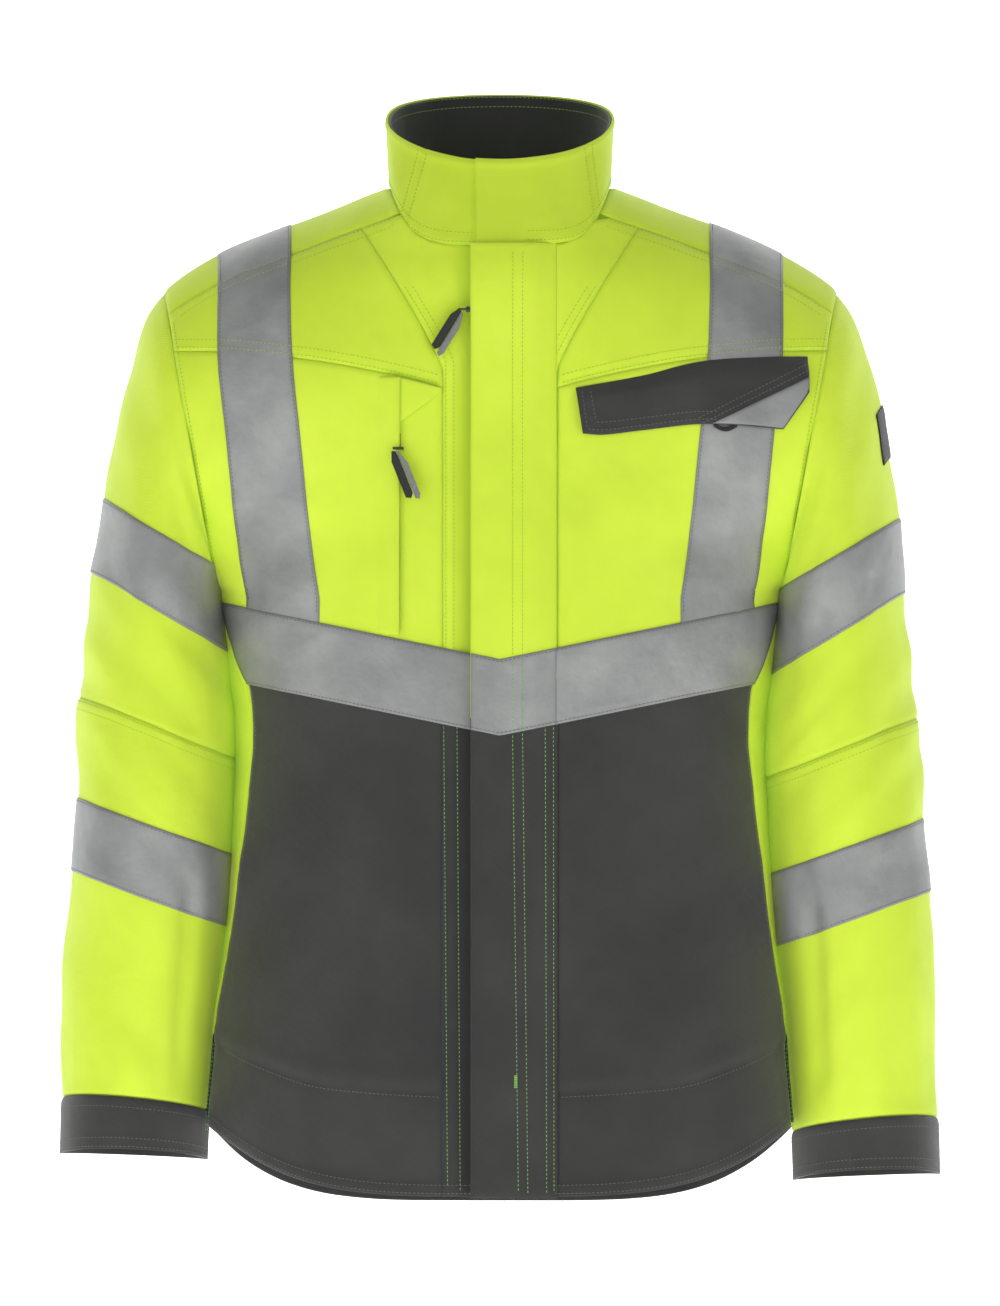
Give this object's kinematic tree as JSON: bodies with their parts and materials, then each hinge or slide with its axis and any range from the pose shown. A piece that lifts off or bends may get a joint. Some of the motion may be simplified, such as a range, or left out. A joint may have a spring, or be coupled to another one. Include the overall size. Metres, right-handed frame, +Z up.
{
  "type": "high-visibility work jacket",
  "caption": "Zip-front high-visibility work jacket with stand collar, storm flap, chest pockets, reflective tapes and cuffed sleeves, filled out as worn.",
  "frame": {"origin": "middle of the hanger loop inside the back of the neck", "axes": "+Z up along the body, +X to the wearer's left, the front faces -Y"},
  "size_m": [0.6044, 0.2559, 0.7612],
  "materials": {
    "yellow_cloth": "fluorescent yellow woven twill",
    "dark_twill": "anthracite twill",
    "reflective_tape": "retroreflective tape, satin",
    "zip_teeth": "moulded teeth",
    "zip_metal": "dark lacquered",
    "puller_black": "moulded",
    "puller_grey": "moulded",
    "dark_webbing": "narrow webbing"
  },
  "bodies": {
    "jacket": {"collar_lining": "dark_twill", "right_collar": "yellow_cloth", "left_collar": "yellow_cloth", "hanger_loop": "dark_webbing", "back_upper": "yellow_cloth", "back_lower": "dark_twill", "back_tape": "reflective_tape", "left_pocket_bag": "dark_twill", "right_pocket_bag": "dark_twill", "chest_zip_chain": "zip_teeth", "chest_zip_fold": "yellow_cloth", "main_zip_right": "zip_teeth", "main_zip_left": "zip_teeth", "right_shoulder_yoke": "yellow_cloth", "right_front_yoke": "yellow_cloth", "right_centre_front": "yellow_cloth", "right_chest_panel": "yellow_cloth", "right_front_band": "dark_twill", "right_lower_front": "dark_twill", "right_side_panel": "yellow_cloth", "right_chest_tape": "reflective_tape", "right_shoulder_tape": "reflective_tape", "right_back_strap_tape": "reflective_tape", "left_shoulder_yoke": "yellow_cloth", "left_front_yoke": "yellow_cloth", "left_centre_front": "yellow_cloth", "left_chest_panel": "yellow_cloth", "left_front_band": "dark_twill", "left_lower_front": "dark_twill", "left_side_panel": "yellow_cloth", "left_chest_tape": "reflective_tape", "left_shoulder_tape": "reflective_tape", "left_back_strap_tape": "reflective_tape"},
    "right_sleeve": {"right_upper_sleeve": "yellow_cloth", "right_lower_sleeve": "yellow_cloth", "right_cuff": "dark_twill", "right_upper_arm_tape": "reflective_tape", "right_forearm_tape": "reflective_tape"},
    "left_sleeve": {"left_upper_sleeve": "yellow_cloth", "left_lower_sleeve": "yellow_cloth", "left_cuff": "dark_twill", "left_upper_arm_tape": "reflective_tape", "left_forearm_tape": "reflective_tape", "sleeve_tab": "dark_webbing"},
    "storm_flap": {"storm_flap_upper": "yellow_cloth", "storm_flap_lower": "dark_twill", "storm_flap_tape": "reflective_tape"},
    "main_slider": {"main_zip_slider": "zip_metal"},
    "main_puller": {"main_puller_grip": "puller_black", "main_puller_inset": "puller_grey"},
    "chest_slider": {"chest_zip_slider": "zip_metal"},
    "chest_puller": {"chest_puller_grip": "puller_black", "chest_puller_inset": "puller_grey"},
    "pocket_flap": {"pocket_flap": "dark_twill", "flap_reflector": "reflective_tape", "flap_pull_loop": "dark_webbing"}
  },
  "joints": [
    {"name": "right_shoulder", "type": "hinge", "parent": "jacket", "child": "right_sleeve", "pos_m": [-0.23, -0.044, -0.075], "axis": [0, 1, 0], "range_deg": [0, 35]},
    {"name": "left_shoulder", "type": "hinge", "parent": "jacket", "child": "left_sleeve", "pos_m": [0.23, -0.044, -0.075], "axis": [0, -1, 0], "range_deg": [0, 35]},
    {"name": "storm_flap_fold", "type": "hinge", "parent": "jacket", "child": "storm_flap", "pos_m": [0.0353, -0.16055, -0.08], "axis": [0, 0.035, 0.9994], "range_deg": [0, 100]},
    {"name": "main_zip_slide", "type": "slide", "parent": "jacket", "child": "main_slider", "axis": [0, -0.0338, -0.9994], "range_m": [0, 0.58]},
    {"name": "main_puller_swing", "type": "hinge", "parent": "main_slider", "child": "main_puller", "pos_m": [-0.0256, -0.156, -0.08785], "axis": [-0.848, 0, 0.5299], "range_deg": [0, 80]},
    {"name": "chest_zip_slide", "type": "slide", "parent": "jacket", "child": "chest_slider", "axis": [0, -0.02, -0.9998], "range_m": [-0.004, 0.112]},
    {"name": "chest_puller_swing", "type": "hinge", "parent": "chest_slider", "child": "chest_puller", "pos_m": [-0.0719, -0.16102, -0.18302], "axis": [-0.9272, 0, -0.3746], "range_deg": [0, 80]},
    {"name": "pocket_flap_lift", "type": "hinge", "parent": "jacket", "child": "pocket_flap", "pos_m": [0.052, -0.17158, -0.13547], "axis": [-0.9698, -0.2006, -0.1385], "range_deg": [0, 90]}
  ]
}
